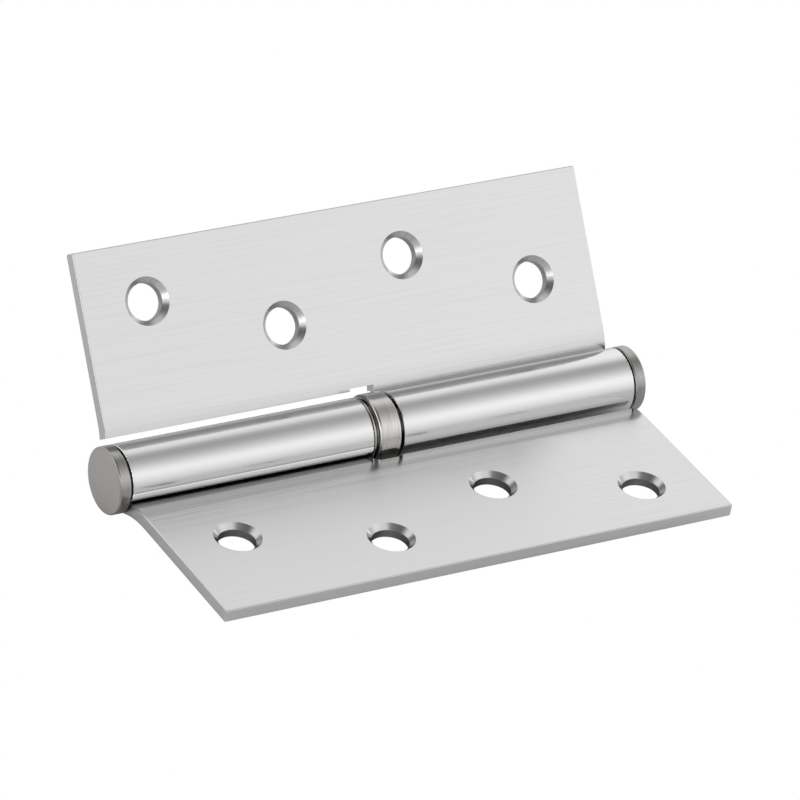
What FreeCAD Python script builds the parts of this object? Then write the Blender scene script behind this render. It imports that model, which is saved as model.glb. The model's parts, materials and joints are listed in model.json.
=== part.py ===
import FreeCAD, Part
import math
import os

# Lift off butt hinge, in millimetres.
# Both leaves are the same piece of sheet steel: a knuckle rolled on one half of a long edge, the
# other half cut back to clear the other leaf's knuckle. One leaf carries the pin. The other is
# the same leaf turned end for end, drops over the pin, and rides on a ball bearing.
# Everything is shaped about the pin's axis, with +X along the pin from the pin leaf's knuckle to
# the lift leaf's, the pin leaf lying towards -Y, and +Z out of its inner face. The finished
# pieces are then shifted so that the origin lies on the pin leaf's mounting face, at the centre
# of its four screw holes.

# Leaf
leaf_length = 100.0
leaf_reach = 38.4  # from the pin's axis to a leaf's free edge
sheet = 2.3
leaf_offset = 1.0  # from the pin's axis to a leaf's inner face
opening_angle = 127.2  # between the leaves as modelled, 0 when they are closed
edge_round = 0.2
corner_round = 0.3

# Knuckle, rolled from the sheet
knuckle_diameter = 11.7
swage_radius = 18.0  # of the sheet's middle, where it bends back from the knuckle to the leaf
seam_gap = 0.12  # between the roll's end and the leaf

# Edge cut back beside the other leaf's knuckle, with a deeper relief at the bearing
cut_back = 6.85  # from the pin's axis
relief_depth = 0.5
relief_start = 0.5  # beyond the knuckle's faced end
relief_length = 4.7
relief_round = 0.2
facing_margin = 0.5  # by which the knuckle's faced end reaches past the roll

# Screw holes, in two rows
hole_pitch = 25.1  # along the leaf
inner_row = 20.1  # from the pin's axis
outer_row = 28.3
hole_diameter = 6.5
countersink_diameter = 8.4
countersink_angle = 90.0

# Pin, pressed into the pin leaf's knuckle and running in the lift leaf's
pin_seat_gap = 2.0  # from the pin to the pin leaf's cap
pin_tip_gap = 6.0  # from the pin's tip to the lift leaf's cap
pin_tip_chamfer = 1.2
running_clearance = 0.05
press_clearance = 0.01

# Caps, turned, with a stem pressed into each knuckle
cap_diameter = 11.7
cap_head = 2.1
cap_stand_off = 0.3  # neck that shows between the cap's head and the knuckle
cap_neck_diameter = 8.6
cap_stem_length = 6.0
cap_round = 0.3  # of the head's rims
stem_chamfer = 0.4

# Ball bearing: a lower race with a seat flange, a crimped shell and an upper race
bearing_clearance = 0.7  # between the shell and the lift leaf's knuckle, as modelled
seat_height = 0.25  # boss that seats on the knuckle
seat_flange = 0.3
seat_flange_diameter = 11.3
neck_diameter = 9.8
shell_gap = 1.1  # from the pin leaf's knuckle to the shell
shell_diameter = 12.3
shell_length = 4.2
shell_wall = 0.45
shell_bend = 0.6  # outer radius of the crimped lip
shell_corner = 0.35
race_thickness = 1.1
race_play = 0.05  # between the lower race and the shell, along and across the axis
race_clearance = 0.1  # between the races and the pin
ball_diameter = 1.588
ball_count = 16
ball_play = 0.01
groove_radius = 0.82

# Sizes that follow
roll_radius = knuckle_diameter / 2
bore_radius = roll_radius - sheet
middle_radius = roll_radius - sheet / 2
bearing_space = shell_gap + shell_length + bearing_clearance
knuckle_face = -bearing_space / 2  # the pin leaf's knuckle ends here, along X
cap_stem_end = leaf_length / 2 - cap_stem_length  # from the middle of the hinge
pin_radius = bore_radius - running_clearance
along = FreeCAD.Vector(1, 0, 0)
axis_point = FreeCAD.Vector(0, 0, 0)


def at(y, z):
    """A point of a section across the pin."""
    return FreeCAD.Vector(0, y, z)


def polar(radius, angle):
    """A section point at an angle about the pin, from straight down towards the pin leaf."""
    return at(-radius * math.sin(angle), -radius * math.cos(angle))


def arc(start, middle, end):
    return Part.Arc(start, middle, end).toShape()


def turned(points):
    """A piece turned about the pin, from its half section as (x, radius) points."""
    outline = Part.makePolygon([FreeCAD.Vector(x, 0, r) for x, r in points + points[:1]])
    return Part.Face(outline).revolve(axis_point, along, 360)


def block(x0, x1, y0, y1, z0, z1):
    corner = FreeCAD.Vector(x0, y0, z0)
    return Part.makeBox(x1 - x0, y1 - y0, z1 - z0, corner)


def sheet_section():
    """The bent sheet's section: leaf, reverse bend and roll, with even thickness."""
    reach = middle_radius + swage_radius  # from the pin's axis to the reverse bend's centre
    drop = swage_radius + leaf_offset + sheet / 2
    roll_start = math.acos(drop / reach)
    centre = polar(reach, roll_start)
    leaf_start = -centre.y

    # The roll's end is rounded through the sheet's whole thickness, about a point on the bore, and
    # stops just short of the leaf, whether it meets its bend or its flat.
    over_bend = swage_radius + sheet / 2 + seam_gap + sheet
    turn = (reach**2 + bore_radius**2 - over_bend**2) / (2 * reach * bore_radius)
    round_start = min(
        roll_start + math.acos(turn),
        math.pi / 2 + math.asin((seam_gap + sheet - leaf_offset) / bore_radius),
    )
    round_start -= 2 * math.pi
    roll_end = round_start - 2 * math.asin(sheet / (2 * bore_radius))
    roll_middle = (roll_start + round_start) / 2

    def end_point(share):
        """A point on the rounded end, from its start on the roll to its end on the bore."""
        square = (round_start + roll_end - math.pi) / 2  # across the chord to the bore's end
        return polar(bore_radius, round_start) + polar(
            sheet, round_start + (square - round_start) * share
        )

    def bend_point(radius, angle):
        """A point on the reverse bend, from its top towards the roll."""
        return centre + at(radius * math.sin(angle), radius * math.cos(angle))

    outer_bend = swage_radius - sheet / 2
    inner_bend = swage_radius + sheet / 2
    outer_face = -leaf_offset - sheet
    edges = [
        Part.makeLine(at(-leaf_reach, -leaf_offset), at(-leaf_reach, outer_face)),
        Part.makeLine(at(-leaf_reach, outer_face), at(-leaf_start, outer_face)),
        arc(
            at(-leaf_start, outer_face),
            bend_point(outer_bend, roll_start / 2),
            polar(roll_radius, roll_start),
        ),
        arc(
            polar(roll_radius, roll_start),
            polar(roll_radius, roll_middle),
            polar(roll_radius, round_start),
        ),
        arc(end_point(0), end_point(0.5), end_point(1)),
        arc(
            polar(bore_radius, roll_end),
            polar(bore_radius, roll_middle),
            polar(bore_radius, roll_start),
        ),
        arc(
            polar(bore_radius, roll_start),
            bend_point(inner_bend, roll_start / 2),
            at(-leaf_start, -leaf_offset),
        ),
        Part.makeLine(at(-leaf_start, -leaf_offset), at(-leaf_reach, -leaf_offset)),
    ]
    return Part.Face(Part.Wire(edges))


def screw_hole(x, row):
    """Cutter for a countersunk screw hole, sunk from the leaf's inner face."""
    hole = hole_diameter / 2
    sink = countersink_diameter / 2
    depth = (sink - hole) / math.tan(math.radians(countersink_angle / 2))
    top = FreeCAD.Vector(x, -row, -leaf_offset)
    down = FreeCAD.Vector(0, 0, -1)
    drill = Part.makeCylinder(hole, 3 * sheet, top - down * sheet, down)
    cone = Part.makeCone(sink, hole, depth, top, down)
    mouth = Part.makeCylinder(sink, sheet, top - down * sheet, down)
    return drill.fuse([cone, mouth])


def hole_places():
    """(x, row) of the screw holes, staggered from the knuckle's end of the leaf."""
    rows = [inner_row, outer_row, inner_row, outer_row]
    first = -hole_pitch * (len(rows) - 1) / 2
    return [(first + hole_pitch * n, row) for n, row in enumerate(rows)]


def in_plane(edge, x):
    box = edge.BoundBox
    return abs(box.XMin - x) < 1e-6 and abs(box.XMax - x) < 1e-6


def leaf_blank():
    """The bent sheet at full length, with the edges of the leaf broken."""
    half = leaf_length / 2
    section = sheet_section()
    section.translate(FreeCAD.Vector(-half, 0, 0))
    blank = section.extrude(along * leaf_length)
    corners = []
    for edge in blank.Edges:
        box = edge.BoundBox
        if box.YMax < 1e-6 - leaf_reach and box.XMax - box.XMin < 1e-6:
            corners.append(edge)
    blank = blank.makeFillet(min(corner_round, sheet / 2), corners)
    rounded = []
    for edge in blank.Edges:
        box = edge.BoundBox
        flat = box.ZMax - box.ZMin < 1e-6
        on_face = abs(box.ZMax + leaf_offset) < 1e-6 or abs(box.ZMax + leaf_offset + sheet) < 1e-6
        inside = box.YMax > 1e-6 - leaf_reach and box.XMax - box.XMin > leaf_length / 2
        if flat and on_face and not inside:
            rounded.append(edge)
    return blank.makeFillet(min(edge_round, sheet / 5), rounded)


def knuckle_cutter():
    """Cutter for the edge beside the other leaf's knuckle.

    It faces the knuckle's end, cuts the edge back, and cuts the deeper relief at the bearing.
    """
    far = leaf_reach + roll_radius
    start = knuckle_face + relief_start
    end = start + relief_length
    facing = block(knuckle_face, start + 1, -roll_radius - facing_margin, far, -far, far)
    clear = block(start, leaf_length / 2 + 1, -cut_back, far, -far, far)
    relief = block(start, end, -cut_back - relief_depth, far, -far, far)
    cutter = clear.fuse([relief, facing]).removeSplitter()
    corners = []
    for edge in cutter.Edges:
        box = edge.BoundBox
        if box.ZMax - box.ZMin > far and abs(box.XMin - end) < 1e-6:
            corners.append(edge)
    return cutter.makeFillet(min(relief_round, relief_depth / 3), corners)


def leaf():
    """A leaf in the pin leaf's place, with its knuckle on the -X half."""
    holes = [screw_hole(x, row) for x, row in hole_places()]
    cut = leaf_blank().cut([knuckle_cutter()] + holes)
    rims = []
    for edge in cut.Edges:
        if in_plane(edge, knuckle_face) and edge.Curve.TypeId == "Part::GeomCircle":
            if edge.Curve.Center.Length < leaf_length and edge.Curve.Radius < roll_radius + 1e-6:
                rims.append(edge)
    return cut.makeFillet(min(edge_round, sheet / 5), rims)


def turn_end_for_end(shape):
    """Turn a leaf, or its cap, to the lift leaf's place, flat open."""
    turned_shape = shape.copy()
    turned_shape.rotate(axis_point, FreeCAD.Vector(0, 0, 1), 180)
    return turned_shape


def swing_to_rest(shape):
    """Swing the lift leaf from flat open to the angle at which the hinge stands."""
    swung = shape.copy()
    swung.rotate(axis_point, along, 180 - opening_angle)
    return swung


def cap():
    """The pin leaf's cap: a rounded head, a neck against the knuckle, and a pressed stem."""
    seat = -leaf_length / 2
    inside = seat - cap_stand_off
    outside = inside - cap_head
    head = cap_diameter / 2
    neck = cap_neck_diameter / 2
    stem = bore_radius - press_clearance
    end = -cap_stem_end
    body = turned(
        [
            (outside, 0),
            (outside, head),
            (inside, head),
            (inside, neck),
            (seat, neck),
            (seat, stem),
            (end - stem_chamfer, stem),
            (end, stem - stem_chamfer),
            (end, 0),
        ]
    )
    rims = []
    for edge in body.Edges:
        if edge.Curve.TypeId == "Part::GeomCircle" and abs(edge.Curve.Radius - head) < 1e-6:
            rims.append(edge)
    return body.makeFillet(min(cap_round, cap_head / 3), rims)


def pin():
    """The pin: a seat pressed into one knuckle and a free end with a lead-in chamfer."""
    seat = bore_radius - press_clearance
    start = pin_seat_gap - cap_stem_end
    end = cap_stem_end - pin_tip_gap
    return turned(
        [
            (start, 0),
            (start, seat - stem_chamfer),
            (start + stem_chamfer, seat),
            (knuckle_face, seat),
            (knuckle_face, pin_radius),
            (end - pin_tip_chamfer, pin_radius),
            (end, pin_radius - pin_tip_chamfer),
            (end, 0),
        ]
    )


def bearing_places():
    """Where the bearing's parts lie along the pin."""
    shell_start = knuckle_face + shell_gap
    shell_end = shell_start + shell_length
    lower_back = shell_start + shell_wall + race_play
    upper_back = shell_end - shell_wall
    return {
        "shell_start": shell_start,
        "shell_end": shell_end,
        "lower_back": lower_back,
        "upper_back": upper_back,
        "ball_plane": (lower_back + upper_back) / 2,
    }


def pitch_radius():
    """Radius of the ball row, in the middle of the races' width."""
    inner = pin_radius + race_clearance
    outer = shell_diameter / 2 - shell_wall - race_play
    return (inner + outer) / 2


def groove(centre_x):
    """Cutter for a race's ball groove."""
    return Part.makeTorus(
        pitch_radius(), groove_radius, FreeCAD.Vector(centre_x, 0, 0), along
    )


def lower_race():
    """The race that seats on the pin leaf's knuckle: seat, flange, neck and grooved ring."""
    place = bearing_places()
    bore = pin_radius + race_clearance
    ring = shell_diameter / 2 - shell_wall - 2 * race_play
    flange = seat_flange_diameter / 2
    neck = neck_diameter / 2
    flange_start = knuckle_face + seat_height
    flange_end = flange_start + seat_flange
    break_edge = seat_flange / 4
    front = place["lower_back"] + race_thickness
    body = turned(
        [
            (knuckle_face, bore),
            (knuckle_face, neck),
            (flange_start, neck),
            (flange_start, flange - break_edge),
            (flange_start + break_edge, flange),
            (flange_end - break_edge, flange),
            (flange_end, flange - break_edge),
            (flange_end, neck),
            (place["lower_back"], neck),
            (place["lower_back"], ring),
            (front, ring),
            (front, bore),
        ]
    )
    bottom = place["ball_plane"] - ball_diameter / 2 - ball_play
    return body.cut(groove(bottom + groove_radius))


def upper_race():
    """The race that sits against the shell's closed end."""
    place = bearing_places()
    bore = pin_radius + race_clearance
    ring = shell_diameter / 2 - shell_wall - press_clearance
    front = place["upper_back"] - race_thickness
    body = turned(
        [
            (front, bore),
            (front, ring),
            (place["upper_back"] - shell_corner / 2, ring),
            (place["upper_back"], ring - shell_corner / 2),
            (place["upper_back"], bore),
        ]
    )
    bottom = place["ball_plane"] + ball_diameter / 2 + ball_play
    return body.cut(groove(bottom - groove_radius))


def bearing_shell():
    """The drawn cup that holds the bearing together, its lip crimped over the lower race."""
    place = bearing_places()
    start = place["shell_start"]
    end = place["shell_end"]
    outer = shell_diameter / 2
    inner = outer - shell_wall
    lip = neck_diameter / 2 + race_play * 2
    hole = pin_radius + race_clearance
    bend = shell_bend
    inner_bend = bend - shell_wall
    bend_45 = bend * (1 - math.sqrt(0.5))
    inner_45 = inner_bend * (1 - math.sqrt(0.5))
    corner_45 = shell_corner * (1 - math.sqrt(0.5))

    def point(x, radius):
        return FreeCAD.Vector(x, 0, radius)

    edges = [
        Part.makeLine(point(start, lip), point(start, outer - bend)),
        arc(
            point(start, outer - bend),
            point(start + bend_45, outer - bend_45),
            point(start + bend, outer),
        ),
        Part.makeLine(point(start + bend, outer), point(end - shell_corner, outer)),
        arc(
            point(end - shell_corner, outer),
            point(end - corner_45, outer - corner_45),
            point(end, outer - shell_corner),
        ),
        Part.makeLine(point(end, outer - shell_corner), point(end, hole)),
        Part.makeLine(point(end, hole), point(end - shell_wall, hole)),
        Part.makeLine(point(end - shell_wall, hole), point(end - shell_wall, inner)),
        Part.makeLine(point(end - shell_wall, inner), point(start + bend, inner)),
        arc(
            point(start + bend, inner),
            point(start + shell_wall + inner_45, inner - inner_45),
            point(start + shell_wall, inner - inner_bend),
        ),
        Part.makeLine(
            point(start + shell_wall, inner - inner_bend), point(start + shell_wall, lip)
        ),
        Part.makeLine(point(start + shell_wall, lip), point(start, lip)),
    ]
    return Part.Face(Part.Wire(edges)).revolve(axis_point, along, 360)


def ball(number):
    """One ball of the row, counted round the pin."""
    turn = 2 * math.pi * number / ball_count
    centre = polar(pitch_radius(), turn) + along * bearing_places()["ball_plane"]
    return Part.makeSphere(ball_diameter / 2, centre)


def pieces():
    """Every piece by name, about the pin's axis."""
    one_leaf = leaf()
    one_cap = cap()
    found = {
        "pin_leaf": one_leaf,
        "lift_leaf": swing_to_rest(turn_end_for_end(one_leaf)),
        "pin_leaf_cap": one_cap,
        "lift_leaf_cap": swing_to_rest(turn_end_for_end(one_cap)),
        "hinge_pin": pin(),
        "lower_race": lower_race(),
        "upper_race": upper_race(),
        "bearing_shell": bearing_shell(),
    }
    for number in range(ball_count):
        found[f"bearing_ball_{number + 1:02d}"] = ball(number)
    return found


def main():
    os.makedirs("parts", exist_ok=True)
    to_mounting_face = FreeCAD.Vector(0, (inner_row + outer_row) / 2, leaf_offset + sheet)
    for name, shape in pieces().items():
        shape.translate(to_mounting_face)
        shape.exportStep(f"parts/{name}.step")
        print(name, shape.ShapeType, len(shape.Solids), shape.isValid(), round(shape.Volume, 2))


main()
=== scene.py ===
import json
import math

import bpy
from mathutils import Matrix, Vector


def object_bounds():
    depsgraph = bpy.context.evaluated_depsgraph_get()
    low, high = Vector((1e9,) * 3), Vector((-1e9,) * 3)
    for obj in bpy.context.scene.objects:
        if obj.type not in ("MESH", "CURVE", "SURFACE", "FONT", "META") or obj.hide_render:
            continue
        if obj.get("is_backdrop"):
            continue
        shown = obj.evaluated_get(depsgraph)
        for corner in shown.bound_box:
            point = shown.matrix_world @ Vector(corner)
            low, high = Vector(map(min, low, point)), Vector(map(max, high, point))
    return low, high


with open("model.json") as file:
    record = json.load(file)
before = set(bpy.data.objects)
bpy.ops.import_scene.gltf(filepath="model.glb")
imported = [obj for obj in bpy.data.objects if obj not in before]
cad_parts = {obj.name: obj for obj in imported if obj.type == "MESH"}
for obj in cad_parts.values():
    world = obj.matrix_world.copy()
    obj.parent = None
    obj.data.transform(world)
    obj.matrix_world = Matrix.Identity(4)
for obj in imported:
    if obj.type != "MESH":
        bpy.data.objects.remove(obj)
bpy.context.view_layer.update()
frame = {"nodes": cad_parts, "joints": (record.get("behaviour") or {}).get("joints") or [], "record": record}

bl_info = {
    "name": "Lift off hinge",
    "version": (1, 0, 0),
    "blender": (4, 5, 0),
    "location": "View3D > Sidebar > Hinge",
    "description": "Gives the lift off hinge its satin nickel finishes and sets its studio",
    "category": "Object",
}

MM = 0.001
LEAVES = ("pin_leaf", "lift_leaf")
CAPS = ("pin_leaf_cap", "lift_leaf_cap")
RACES = ("lower_race", "upper_race")
BALLS = sorted(name for name in frame["nodes"] if name.startswith("bearing_ball"))
JOINTS = {joint["name"]: joint for joint in frame["joints"]}
MOUNTS = {mount["name"]: mount for mount in frame["record"]["mounts"]}
PIN_PLACE = Vector(JOINTS["swing"]["pos_m"])  # a point on the pin's axis
ALONG = Vector((1, 0, 0))  # the axis

# Levels of a noise between which a finish goes from one look to the other
NOISE_LEVELS = (0.3, 0.7)
GROOVE_LEVELS = (0.3, 0.65)
LINE_LEVELS = (0.35, 0.65)
LINE_SHADE_LEVELS = (0.35, 0.6)

# Detail of a noise
SOFT = 1.0
PLAIN = 2.0
FINE = 3.0

# The leaf's brush lines in three families, from fine to broad. Each has its length and its width
# as times those of one line, its noise's detail, and its share over the families before it
LINE_FAMILIES = (
    (1.0, 1.0, FINE, 1.0),
    (1.5, 2.5, PLAIN, 0.5),
    (3.0, 8.0, PLAIN, 0.1),
)
LINE_SHADE = 0.83  # of the nickel's colour: painted shade in the deep lines
LINE_BRIGHT = 0.91  # of it, on the leaf between them, where the painted shade is lighter
LINE_SPREAD = 0.05  # of the roughness, to each side
SPREAD_ACROSS = 0.7  # the shader's anisotropy
QUARTER_TURN = 0.25  # of its rotation, so that blur lies across the lines

# The knuckle, which is polished after it is rolled
LINES_KEPT = 0.04  # share of the lines' height that polishing leaves
PATCH_SIZE = (30 * MM, 12 * MM, 12 * MM)  # of its faint uneven patches
PATCH_SPREAD = (-0.02, 0.03)  # of the roughness
NOTCH_SIZE = (1.2 * MM, 0.3 * MM, 0.3 * MM)  # of the ragged edge where the brushing begins
NOTCH_DEPTH = 0.5 * MM
EDGE_FADE = 0.25 * MM
STEP_WIDTH = 0.3 * MM  # of the step down to the rolling tool's line
STEP_SLOPE = 0.21  # its fall over its width
BEAD_SLOPE = 0.42  # the bead's rise over its width

# The screw holes
RIM_FADE = 0.04 * MM  # to each side of a countersink's rim
SINK_RING = 0.14 * MM  # width of a turning mark
WALL_FADE = (0.02 * MM, 0.1 * MM)  # outside the drilled wall
DRILLED_AND_SHADED = 0.5  # of the nickel's colour on the drilled wall: partly its duller bare metal, partly painted shade in the hole

# Turned pieces
STREAKS_ROUND = 1.5  # marks to a radian, so that a ring isn't the same all round
GROOVE_DARK = 0.82  # of the colour: painted shade in the turning grooves
TURNED_SPREAD = (-0.04, 0.05)  # of the roughness
RING_DEPTH = 0.003 * MM
FACE_EDGE = (0.97, 0.995)  # the normal's part along the pin where a face begins and is full

# Polished steel
SHEEN_SIZE = 0.4 * MM
SHEEN_DEPTH = 0.0005 * MM
SHEEN_SPREAD = 0.2  # share of the roughness, to each side

# The camera's axes, which give the photograph's angle and its small roll
VIEW_RIGHT = Vector((0.8526, -0.5003, 0.1512))
VIEW_FORWARD = Vector((0.4956, 0.6821, -0.5377))
SENSOR_WIDTH = 36.0  # millimetres
NEAREST = 0.01  # metres
FARTHEST = 20.0

# Brightness of the studio round the barrel, by angle in degrees from the back, over the top.
# Under the horizon it stays as at the back
SKY_ROUND = (
    (0, 1.0),
    (20, 1.17),
    (38, 1.26),
    (52, 1.2),
    (64, 1.0),
    (74, 0.66),
    (86, 0.5),
    (100, 0.6),
    (115, 0.85),
    (128, 1.12),
    (140, 1.36),
    (150, 1.33),
    (162, 1.17),
    (178, 0.92),
)
# Its brightness from the hinge's left, -1, to its right, 1: a softbox stands at the left
SKY_ALONG = (
    (-1.0, 2.1),
    (-0.88, 2.1),
    (-0.8, 1.05),
    (-0.65, 0.95),
    (0.0, 0.95),
    (0.46, 0.98),
    (0.53, 1.05),
    (0.8, 1.2),
    (1.0, 1.2),
)
BRIGHTEST = 2.5  # level that a full white stop stands for
DARK_PLACE = Vector((-0.5, -0.28, 0.82))  # direction of a darker place, above the camera
DARK_REACH = (0.78, 0.93)  # cosines of the angles from it at which it begins and is full
DARK_LEVEL = 0.3  # of the light round it
WHITE = (1, 1, 1, 1)


def linear(hex_colour):
    """An sRGB hex colour as linear red, green and blue."""
    found = []
    for start in (1, 3, 5):
        value = int(hex_colour[start : start + 2], 16) / 255
        found.append(value / 12.92 if value <= 0.04045 else ((value + 0.055) / 1.055) ** 2.4)
    return tuple(found)


def toned(colour, share=1.0):
    """This share of a colour, with the fourth channel that a colour socket takes."""
    return tuple(channel * share for channel in colour) + (1,)


def deselect():
    """Leaves nothing selected, since an operator acts on all that is."""
    bpy.ops.object.select_all(action="DESELECT")


# Shader nodes


def add(tree, kind, inputs=(), output=0, **settings):
    """Adds a node with its settings and gives one of its outputs.

    Its inputs come by name, or as a tuple in the node's own order. Each takes a value, or the
    output that feeds it.
    """
    node = tree.nodes.new("ShaderNode" + kind)
    for name, value in settings.items():
        setattr(node, name, value)
    if isinstance(inputs, tuple):
        inputs = dict(enumerate(inputs))
    for key, value in inputs.items():
        if isinstance(value, bpy.types.NodeSocket):
            tree.links.new(value, node.inputs[key])
        else:
            node.inputs[key].default_value = value
    return node.outputs[output] if node.outputs else None


def new_material(name):
    """An empty material and its node tree."""
    material = bpy.data.materials.new(name)
    material.use_nodes = True
    material.node_tree.nodes.clear()
    return material, material.node_tree


def from_axis(tree, point, place, axis):
    """A point's distance from the axis through this place."""
    offset = add(tree, "VectorMath", (point, place), operation="SUBTRACT")
    across = add(tree, "VectorMath", (offset, axis), operation="CROSS_PRODUCT")
    return add(tree, "VectorMath", (across,), "Value", operation="LENGTH")


def grain(tree, point, size, detail=PLAIN):
    """Noise whose marks have this real size along X, Y and Z."""
    scaled = add(tree, "Mapping", {"Vector": point, "Scale": [1 / side for side in size]})
    return add(tree, "TexNoise", {"Vector": scaled, "Scale": 1.0, "Detail": detail})


def metal(tree, colour, roughness, height, depth, brushed=0.0):
    """The metal shader. Brushing along X spreads its reflections across the lines."""
    bump = add(tree, "Bump", {"Height": height, "Distance": depth, "Strength": 1.0})
    inputs = {"Base Color": colour, "Metallic": 1.0, "Roughness": roughness, "Normal": bump}
    if brushed:
        inputs["Anisotropic"] = brushed
        inputs["Anisotropic Rotation"] = QUARTER_TURN
        inputs["Tangent"] = add(
            tree,
            "VectorTransform",
            {"Vector": ALONG},
            vector_type="VECTOR",
            convert_from="OBJECT",
            convert_to="WORLD",
        )
    add(tree, "OutputMaterial", {"Surface": add(tree, "BsdfPrincipled", inputs)})


def give(names, material):
    """Puts one material on each of these pieces."""
    for name in names:
        piece = frame["nodes"][name]
        piece.data.materials.clear()
        piece.data.materials.append(material)


# Settings


class HingeLeafSettings(bpy.types.PropertyGroup):
    """The brushed leaves and their knuckles."""

    nickel: bpy.props.FloatVectorProperty(
        name="Nickel",
        description="Colour of the satin nickel plate",
        subtype="COLOR",
        size=3,
        default=linear("#D0D0D0"),
    )
    leaf_roughness: bpy.props.FloatProperty(
        name="Leaf roughness",
        description="Roughness of the brushed leaf",
        subtype="FACTOR",
        default=0.2,
        min=0.0,
        max=1.0,
    )
    knuckle_roughness: bpy.props.FloatProperty(
        name="Knuckle roughness",
        description="Roughness of the knuckle, which is polished after it is rolled",
        subtype="FACTOR",
        default=0.13,
        min=0.0,
        max=1.0,
    )
    sink_roughness: bpy.props.FloatProperty(
        name="Countersink roughness",
        description="Roughness of a countersink's turned cone",
        subtype="FACTOR",
        default=0.2,
        min=0.0,
        max=1.0,
    )
    wall_roughness: bpy.props.FloatProperty(
        name="Hole roughness",
        description="Roughness of a screw hole's drilled wall",
        subtype="FACTOR",
        default=0.35,
        min=0.0,
        max=1.0,
    )
    line_width: bpy.props.FloatProperty(
        name="Line width",
        description="Width of one brush line, drawn wider than the real one so that it shows",
        unit="LENGTH",
        default=0.2 * MM,
    )
    line_length: bpy.props.FloatProperty(
        name="Line length",
        description="Length of one brush line",
        unit="LENGTH",
        default=26 * MM,
    )
    line_depth: bpy.props.FloatProperty(
        name="Line depth",
        description="Depth of one brush line",
        unit="LENGTH",
        default=0.003 * MM,
    )
    knuckle_edge: bpy.props.FloatProperty(
        name="Knuckle edge",
        description="Distance from the pin's axis at which the leaf's brushing begins",
        unit="LENGTH",
        default=6.15 * MM,
    )
    sink_radius: bpy.props.FloatProperty(
        name="Countersink radius",
        description="Radius within which a screw hole is bare turned metal",
        unit="LENGTH",
        default=4.2 * MM,
    )
    wall_radius: bpy.props.FloatProperty(
        name="Hole radius",
        description="Radius of a screw hole's dull drilled wall",
        unit="LENGTH",
        default=3.25 * MM,
    )
    tool_line: bpy.props.FloatProperty(
        name="Tool line height",
        description="Height over the pin, square to the leaf, of the rolling tool's line",
        unit="LENGTH",
        default=0.59 * MM,
    )
    bead_width: bpy.props.FloatProperty(
        name="Bead width",
        description="Width of the bright bead between the tool's line and the roll's end",
        unit="LENGTH",
        default=1.0 * MM,
    )
    roll_edge: bpy.props.FloatProperty(
        name="Roll edge",
        description="Height over the pin, square to the leaf, down to which the bead goes",
        unit="LENGTH",
        default=-0.95 * MM,
    )


class HingeTurnedSettings(bpy.types.PropertyGroup):
    """The turned caps, the bearing and the pin."""

    cap_nickel: bpy.props.FloatVectorProperty(
        name="Cap nickel",
        description="Colour of the caps' turned sides, a little warmer than the leaves",
        subtype="COLOR",
        size=3,
        default=linear("#9F9D9A"),
    )
    cap_roughness: bpy.props.FloatProperty(
        name="Cap roughness",
        description="Roughness of the caps' turned sides",
        subtype="FACTOR",
        default=0.17,
        min=0.0,
        max=1.0,
    )
    face_nickel: bpy.props.FloatVectorProperty(
        name="Face nickel",
        description="Colour of the caps' blasted faces",
        subtype="COLOR",
        size=3,
        default=linear("#B2B0AE"),
    )
    face_roughness: bpy.props.FloatProperty(
        name="Face roughness",
        description="Roughness of the caps' blasted faces",
        subtype="FACTOR",
        default=0.38,
        min=0.0,
        max=1.0,
    )
    speckle: bpy.props.FloatProperty(
        name="Speckle",
        description="Grain of the caps' blasted faces",
        unit="LENGTH",
        default=0.15 * MM,
    )
    shell_nickel: bpy.props.FloatVectorProperty(
        name="Shell nickel",
        description="Colour of the bearing's shell",
        subtype="COLOR",
        size=3,
        default=linear("#C4C2BF"),
    )
    shell_roughness: bpy.props.FloatProperty(
        name="Shell roughness",
        description="Roughness of the bearing's shell",
        subtype="FACTOR",
        default=0.2,
        min=0.0,
        max=1.0,
    )
    race_steel: bpy.props.FloatVectorProperty(
        name="Race steel",
        description="Colour of the hardened races",
        subtype="COLOR",
        size=3,
        default=linear("#B9B7B4"),
    )
    race_roughness: bpy.props.FloatProperty(
        name="Race roughness",
        description="Roughness of the hardened races",
        subtype="FACTOR",
        default=0.22,
        min=0.0,
        max=1.0,
    )
    ring_width: bpy.props.FloatProperty(
        name="Ring width",
        description="Width of one turning mark, drawn wider than the real one so that it shows",
        unit="LENGTH",
        default=0.2 * MM,
    )
    pin_steel: bpy.props.FloatVectorProperty(
        name="Pin steel",
        description="Colour of the ground pin",
        subtype="COLOR",
        size=3,
        default=linear("#BDBCBA"),
    )
    pin_roughness: bpy.props.FloatProperty(
        name="Pin roughness",
        description="Roughness of the ground pin",
        subtype="FACTOR",
        default=0.22,
        min=0.0,
        max=1.0,
    )
    ball_steel: bpy.props.FloatVectorProperty(
        name="Ball steel",
        description="Colour of the polished balls",
        subtype="COLOR",
        size=3,
        default=linear("#DADADA"),
    )
    ball_roughness: bpy.props.FloatProperty(
        name="Ball roughness",
        description="Roughness of the polished balls",
        subtype="FACTOR",
        default=0.06,
        min=0.0,
        max=1.0,
    )


class HingeStageSettings(bpy.types.PropertyGroup):
    """The floor and the camera."""

    floor_colour: bpy.props.FloatVectorProperty(
        name="Floor",
        description="Colour of the pale floor",
        subtype="COLOR",
        size=3,
        default=linear("#EDEDED"),
    )
    floor_roughness: bpy.props.FloatProperty(
        name="Floor roughness",
        description="Roughness of the matt floor",
        subtype="FACTOR",
        default=0.9,
        min=0.0,
        max=1.0,
    )
    floor_side: bpy.props.FloatProperty(
        name="Floor side",
        description="Side of the square floor",
        unit="LENGTH",
        default=4.0,
    )
    camera_place: bpy.props.FloatVectorProperty(
        name="Camera",
        description="Where the camera stands",
        subtype="TRANSLATION",
        size=3,
        default=(-0.5387, -0.7237, 0.5978),
    )
    camera_lens: bpy.props.FloatProperty(
        name="Lens",
        description="Focal length in millimetres on a 36 mm sensor",
        default=288.4,
    )


# Materials


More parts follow.
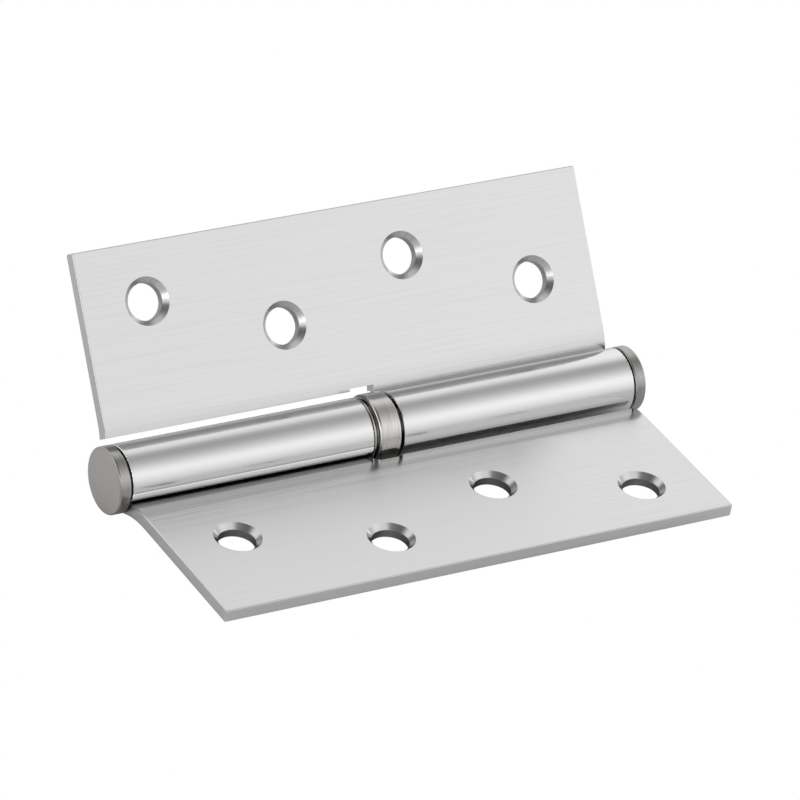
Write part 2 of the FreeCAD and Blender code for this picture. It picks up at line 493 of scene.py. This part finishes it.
def from_holes(tree, point, leaf):
    """Distance from the axis of this leaf's nearest screw hole."""
    nearest = None
    for name, mount in MOUNTS.items():
        if mount["kind"] != "bolt_pattern" or not name.startswith(leaf):
            continue
        half = mount["dims"]["pcd_mm"] * MM / 2
        for side in (-half, half):
            centre = Vector(mount["pos_m"]) + ALONG * side
            away = from_axis(tree, point, centre, mount["axis"])
            if nearest is not None:
                away = add(tree, "Math", (nearest, away), operation="MINIMUM")
            nearest = away
    return nearest


def past_knuckle(tree, point, edge):
    """1 on the brushed leaf and 0 on its knuckle, with a ragged edge between them."""
    radius = from_axis(tree, point, PIN_PLACE, ALONG)
    notches = grain(tree, point, NOTCH_SIZE)
    ragged = add(tree, "Math", (notches, NOTCH_DEPTH, radius), operation="MULTIPLY_ADD")
    return add(tree, "MapRange", (ragged, edge, edge + EDGE_FADE))


def brush_lines(tree, point, settings):
    """The pattern of fine lines that brushing along the leaf leaves."""
    lines = None
    for longer, wider, detail, share in LINE_FAMILIES:
        width = wider * settings.line_width
        family = grain(tree, point, (longer * settings.line_length, width, width), detail)
        if lines is not None:
            family = add(tree, "Mix", {"Factor": share, "A": lines, "B": family})
        lines = family
    return lines


def tool_mark(tree, point, leaf, settings):
    """Height of the mark along the roll's end: a step down to a line, then a low bead."""
    back = MOUNTS[leaf + "_back"]
    offset = add(tree, "VectorMath", (point, PIN_PLACE), operation="SUBTRACT")
    outward = -Vector(back["axis"])
    above = add(tree, "VectorMath", (offset, outward), "Value", operation="DOT_PRODUCT")
    to_leaf = Vector(back["pos_m"]) - PIN_PLACE
    beside = add(tree, "VectorMath", (offset, to_leaf), "Value", operation="DOT_PRODUCT")
    line = settings.tool_line
    bead = settings.bead_width
    fall = -STEP_SLOPE * STEP_WIDTH
    step = add(tree, "MapRange", (above, line, line + STEP_WIDTH, fall, 0))
    rise = add(tree, "MapRange", (above, line - bead, line, BEAD_SLOPE * bead, 0))
    height = add(tree, "Math", (step, rise), operation="ADD")
    height = add(tree, "Math", (height, settings.line_depth), operation="DIVIDE")
    on_roll = add(tree, "Math", (above, settings.roll_edge), operation="GREATER_THAN")
    on_side = add(tree, "Math", (beside, 0), operation="GREATER_THAN")
    here = add(tree, "Math", (on_roll, on_side), operation="MULTIPLY")
    return add(tree, "Math", (height, here), operation="MULTIPLY")


def brushed_nickel(leaf, settings):
    """Satin nickel plate on rolled steel, brushed along its length.

    The brush leaves fine even lines, which spread reflections across the leaf, and painted shade
    dims the leaf's colour, most in the deep lines. The knuckle is polished after rolling, so it
    mirrors long soft bands. A countersink is a bright turned cone, and the drilled wall below it
    is dull and darker, partly as bare drilled metal and partly as painted shade in the hole.
    """
    material, tree = new_material("brushed_satin_nickel_" + leaf)
    point = add(tree, "TexCoord", output="Object")
    hole = from_holes(tree, point, leaf)
    rim = settings.sink_radius
    wall = settings.wall_radius
    inner, outer = WALL_FADE
    on_leaf = past_knuckle(tree, point, settings.knuckle_edge)
    in_sink = add(tree, "MapRange", (hole, rim - RIM_FADE, rim + RIM_FADE, 1, 0))
    on_wall = add(tree, "MapRange", (hole, wall + inner, wall + outer, 1, 0))

    lines = brush_lines(tree, point, settings)
    patches = grain(tree, point, PATCH_SIZE, SOFT)
    ring_place = add(tree, "Math", (hole, SINK_RING), operation="DIVIDE")
    rings = add(tree, "TexNoise", {"W": ring_place, "Scale": 1.0}, noise_dimensions="1D")

    faint = add(tree, "Math", (lines, LINES_KEPT), operation="MULTIPLY")
    mark = tool_mark(tree, point, leaf, settings)
    faint = add(tree, "Math", (faint, mark), operation="ADD")
    height = add(tree, "Mix", {"Factor": on_leaf, "A": faint, "B": lines})
    height = add(tree, "Mix", {"Factor": in_sink, "A": height, "B": rings})

    rough = settings.leaf_roughness
    brushed = (lines, *LINE_LEVELS, rough - LINE_SPREAD, rough + LINE_SPREAD)
    brushed = add(tree, "MapRange", brushed)
    smooth = settings.knuckle_roughness
    smoother, rougher = PATCH_SPREAD
    rolled = (patches, *NOISE_LEVELS, smooth + smoother, smooth + rougher)
    rolled = add(tree, "MapRange", rolled)
    roughness = add(tree, "Mix", {"Factor": on_leaf, "A": rolled, "B": brushed})
    turned = {"Factor": in_sink, "A": roughness, "B": settings.sink_roughness}
    roughness = add(tree, "Mix", turned)
    drilled = {"Factor": on_wall, "A": roughness, "B": settings.wall_roughness}
    roughness = add(tree, "Mix", drilled)

    # Painted shade: the leaf's colour is dimmed, most in the deep brush lines, while the knuckle keeps the
    # full colour.
    nickel = settings.nickel
    line_shade_share = add(tree, "MapRange", (lines, *LINE_SHADE_LEVELS))
    streaks = {"Factor": line_shade_share, "A": toned(nickel, LINE_SHADE), "B": toned(nickel, LINE_BRIGHT)}
    line_shaded = add(tree, "Mix", streaks, "Result", data_type="RGBA")
    plate = {"Factor": on_leaf, "A": toned(nickel), "B": line_shaded}
    plate = add(tree, "Mix", plate, "Result", data_type="RGBA")
    # Painted shade inside the screw hole, over the drilled wall's duller bare metal.
    colour = {"Factor": on_wall, "A": plate, "B": toned(nickel, DRILLED_AND_SHADED)}
    colour = add(tree, "Mix", colour, "Result", data_type="RGBA")
    metal(tree, colour, roughness, height, settings.line_depth, SPREAD_ACROSS)
    return material


def turned_metal(name, colour, roughness, settings, blasted_faces=False):
    """A piece turned in a lathe: fine rings round the pin's axis.

    The rings catch the light as thin streaks round the rim, and painted shade darkens their grooves.
    A blasted end face, where there is one, has no rings and looks even, duller and slightly grainy.
    """
    material, tree = new_material(name)
    point = add(tree, "TexCoord", output="Object")
    offset = add(tree, "VectorMath", (point, PIN_PLACE), operation="SUBTRACT")
    along, y, z = add(tree, "SeparateXYZ", {"Vector": offset}).node.outputs
    radius = from_axis(tree, point, PIN_PLACE, ALONG)
    turn = add(tree, "Math", (z, y), operation="ARCTAN2")
    place = {
        "X": add(tree, "Math", (along, settings.ring_width), operation="DIVIDE"),
        "Y": add(tree, "Math", (radius, settings.ring_width), operation="DIVIDE"),
        "Z": add(tree, "Math", (turn, STREAKS_ROUND), operation="MULTIPLY"),
    }
    around = add(tree, "CombineXYZ", place)
    height = add(tree, "TexNoise", {"Vector": around, "Scale": 1.0, "Detail": PLAIN})
    # Painted shade: the colour is darker in the turning grooves.
    ridge = add(tree, "MapRange", (height, *GROOVE_LEVELS))
    shade = {"Factor": ridge, "A": toned(colour, GROOVE_DARK), "B": toned(colour)}
    shade = add(tree, "Mix", shade, "Result", data_type="RGBA")
    smoother, rougher = TURNED_SPREAD
    rough = (height, *NOISE_LEVELS, roughness + smoother, roughness + rougher)
    rough = add(tree, "MapRange", rough)
    if blasted_faces:
        normal = add(tree, "TexCoord", output="Normal")
        facing = add(tree, "SeparateXYZ", {"Vector": normal}, "X")
        facing = add(tree, "Math", (facing,), operation="ABSOLUTE")
        face = add(tree, "MapRange", (facing, *FACE_EDGE))
        speckle = grain(tree, point, (settings.speckle,) * 3, FINE)
        height = add(tree, "Mix", {"Factor": face, "A": height, "B": speckle})
        rough = add(tree, "Mix", {"Factor": face, "A": rough, "B": settings.face_roughness})
        faces = {"Factor": face, "A": shade, "B": toned(settings.face_nickel)}
        shade = add(tree, "Mix", faces, "Result", data_type="RGBA")
    metal(tree, shade, rough, height, RING_DEPTH)
    return material


def polished_steel(name, colour, roughness):
    """Hard steel ground or lapped bright, with only a faint uneven sheen."""
    material, tree = new_material(name)
    point = add(tree, "TexCoord", output="Object")
    sheen = grain(tree, point, (SHEEN_SIZE,) * 3)
    spread = roughness * SHEEN_SPREAD
    rough = (sheen, *NOISE_LEVELS, roughness - spread, roughness + spread)
    rough = add(tree, "MapRange", rough)
    metal(tree, toned(colour), rough, sheen, SHEEN_DEPTH)
    return material


# Pieces


class HINGE_OT_leaves(bpy.types.Operator):
    """Finish both leaves with their knuckles and countersinks"""

    bl_idname = "hinge.leaves"
    bl_label = "Leaves"

    def execute(self, context):
        for leaf in LEAVES:
            give([leaf], brushed_nickel(leaf, context.scene.hinge_leaf))
        return {"FINISHED"}


class HINGE_OT_caps(bpy.types.Operator):
    """Finish the turned caps at the barrel's ends"""

    bl_idname = "hinge.caps"
    bl_label = "Caps"

    def execute(self, context):
        settings = context.scene.hinge_turned
        colour = settings.cap_nickel
        roughness = settings.cap_roughness
        give(CAPS, turned_metal("turned_satin_nickel", colour, roughness, settings, True))
        return {"FINISHED"}


class HINGE_OT_bearing(bpy.types.Operator):
    """Finish the bearing's shell and races"""

    bl_idname = "hinge.bearing"
    bl_label = "Bearing"

    def execute(self, context):
        settings = context.scene.hinge_turned
        colour = settings.shell_nickel
        roughness = settings.shell_roughness
        shell = turned_metal("drawn_satin_nickel_shell", colour, roughness, settings)
        give(["bearing_shell"], shell)
        colour = settings.race_steel
        roughness = settings.race_roughness
        give(RACES, turned_metal("hardened_race_steel", colour, roughness, settings))
        return {"FINISHED"}


class HINGE_OT_balls(bpy.types.Operator):
    """Finish the row of bearing balls"""

    bl_idname = "hinge.balls"
    bl_label = "Balls"

    def execute(self, context):
        settings = context.scene.hinge_turned
        colour = settings.ball_steel
        give(BALLS, polished_steel("lapped_chrome_steel", colour, settings.ball_roughness))
        return {"FINISHED"}


class HINGE_OT_pin(bpy.types.Operator):
    """Finish the ground pin"""

    bl_idname = "hinge.pin"
    bl_label = "Pin"

    def execute(self, context):
        settings = context.scene.hinge_turned
        colour = settings.pin_steel
        give(["hinge_pin"], polished_steel("ground_pin_steel", colour, settings.pin_roughness))
        return {"FINISHED"}


def fill(ramp, low, high, stops):
    """Sets a ramp's stops from places between two limits and their grey levels."""
    elements = ramp.elements
    while len(elements) > 1:
        elements.remove(elements[-1])
    for number, (place, level) in enumerate(stops):
        position = (place - low) / (high - low)
        element = elements.new(position) if number else elements[0]
        element.position = position
        element.color = (level / BRIGHTEST,) * 3 + (1,)


def studio_sky():
    """Soft light all round, in broad bands along the barrel, and a plain white backdrop."""
    world = bpy.data.worlds.new("studio")
    world.use_nodes = True
    bpy.context.scene.world = world
    tree = world.node_tree
    tree.nodes.clear()
    direction = add(tree, "TexCoord", output="Generated")
    x, y, z = add(tree, "SeparateXYZ", {"Vector": direction}).node.outputs
    angle = add(tree, "Math", (z, y), operation="ARCTAN2")
    over_top = add(tree, "MapRange", (angle, 0, math.pi))
    around = add(tree, "ValToRGB", (over_top,))
    fill(around.node.color_ramp, 0, 180, SKY_ROUND)
    to_right = add(tree, "MapRange", (x, -1, 1))
    along = add(tree, "ValToRGB", (to_right,))
    fill(along.node.color_ramp, -1, 1, SKY_ALONG)
    level = {"Factor": 1, "A": around, "B": along}
    level = add(tree, "Mix", level, "Result", data_type="RGBA", blend_type="MULTIPLY")
    dark = DARK_PLACE.normalized()
    near = add(tree, "VectorMath", (direction, dark), "Value", operation="DOT_PRODUCT")
    full = BRIGHTEST**2  # because each ramp's levels are divided by it
    strength = add(tree, "MapRange", (near, *DARK_REACH, full, DARK_LEVEL * full))
    bands = add(tree, "Background", {"Color": level, "Strength": strength})
    backdrop = add(tree, "Background", {"Color": WHITE, "Strength": 1})
    seen = add(tree, "LightPath", output="Is Camera Ray")
    light = add(tree, "MixShader", (seen, bands, backdrop))
    add(tree, "OutputWorld", {"Surface": light})


def floor(settings, height):
    """The plain pale floor that the hinge lies on.

    The camera sees the white backdrop through it, and light from below passes it, so that a leaf
    that swings under it stays lit and in sight.
    """
    deselect()
    bpy.ops.mesh.primitive_plane_add(size=settings.floor_side, location=(0, 0, height))
    plane = bpy.context.active_object
    plane.name = "floor"
    material, tree = new_material("matt_white_board")
    matt = {"Base Color": toned(settings.floor_colour), "Roughness": settings.floor_roughness}
    board = add(tree, "BsdfPrincipled", matt)
    clear = add(tree, "BsdfTransparent")
    seen = add(tree, "LightPath", output="Is Camera Ray")
    below = add(tree, "NewGeometry", output="Backfacing")
    open_to = add(tree, "Math", (seen, below), operation="MAXIMUM")
    surface = add(tree, "MixShader", (open_to, board, clear))
    add(tree, "OutputMaterial", {"Surface": surface})
    plane.data.materials.append(material)
    plane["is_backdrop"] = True


def camera(settings):
    """The photograph's viewpoint."""
    forward = VIEW_FORWARD.normalized()
    up = VIEW_RIGHT.cross(forward).normalized()
    right = forward.cross(up)
    lens = bpy.data.cameras.new("camera")
    lens.lens = settings.camera_lens
    lens.sensor_width = SENSOR_WIDTH
    lens.clip_start = NEAREST
    lens.clip_end = FARTHEST
    eye = bpy.data.objects.new("camera", lens)
    turn = Matrix((right, up, -forward)).transposed().to_4x4()
    eye.matrix_world = Matrix.Translation(Vector(settings.camera_place)) @ turn
    bpy.context.scene.collection.objects.link(eye)
    bpy.context.scene.camera = eye


class HINGE_OT_stage(bpy.types.Operator):
    """Set the floor, the studio light and the camera"""

    bl_idname = "hinge.stage"
    bl_label = "Stage"

    def execute(self, context):
        settings = context.scene.hinge_stage
        low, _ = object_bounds()
        studio_sky()
        floor(settings, low.z)
        camera(settings)
        context.scene.view_settings.view_transform = "Standard"
        return {"FINISHED"}


class HINGE_PT_panel(bpy.types.Panel):
    """Lists the hinge's pieces in the order in which they are finished"""

    bl_idname = "HINGE_PT_panel"
    bl_label = "Lift off hinge"
    bl_space_type = "VIEW_3D"
    bl_region_type = "UI"
    bl_category = "Hinge"

    def draw(self, context):
        for group in GROUPS:
            box = self.layout.box()
            settings = getattr(context.scene, group)
            for name in settings.bl_rna.properties.keys():
                if name not in ("rna_type", "name"):
                    box.prop(settings, name)
        for piece in PIECES:
            self.layout.operator(piece.bl_idname)


GROUPS = {
    "hinge_leaf": HingeLeafSettings,
    "hinge_turned": HingeTurnedSettings,
    "hinge_stage": HingeStageSettings,
}
PIECES = (
    HINGE_OT_leaves,
    HINGE_OT_caps,
    HINGE_OT_bearing,
    HINGE_OT_balls,
    HINGE_OT_pin,
    HINGE_OT_stage,
)


def register():
    for group, settings in GROUPS.items():
        bpy.utils.register_class(settings)
        setattr(bpy.types.Scene, group, bpy.props.PointerProperty(type=settings))
    for piece in PIECES:
        bpy.utils.register_class(piece)
    bpy.utils.register_class(HINGE_PT_panel)


def unregister():
    bpy.utils.unregister_class(HINGE_PT_panel)
    for piece in reversed(PIECES):
        bpy.utils.unregister_class(piece)
    for group, settings in reversed(GROUPS.items()):
        delattr(bpy.types.Scene, group)
        bpy.utils.unregister_class(settings)


def main():
    register()
    deselect()
    bpy.ops.hinge.leaves()
    bpy.ops.hinge.caps()
    bpy.ops.hinge.bearing()
    bpy.ops.hinge.balls()
    bpy.ops.hinge.pin()
    bpy.ops.hinge.stage()


if __name__ == "__main__":
    main()
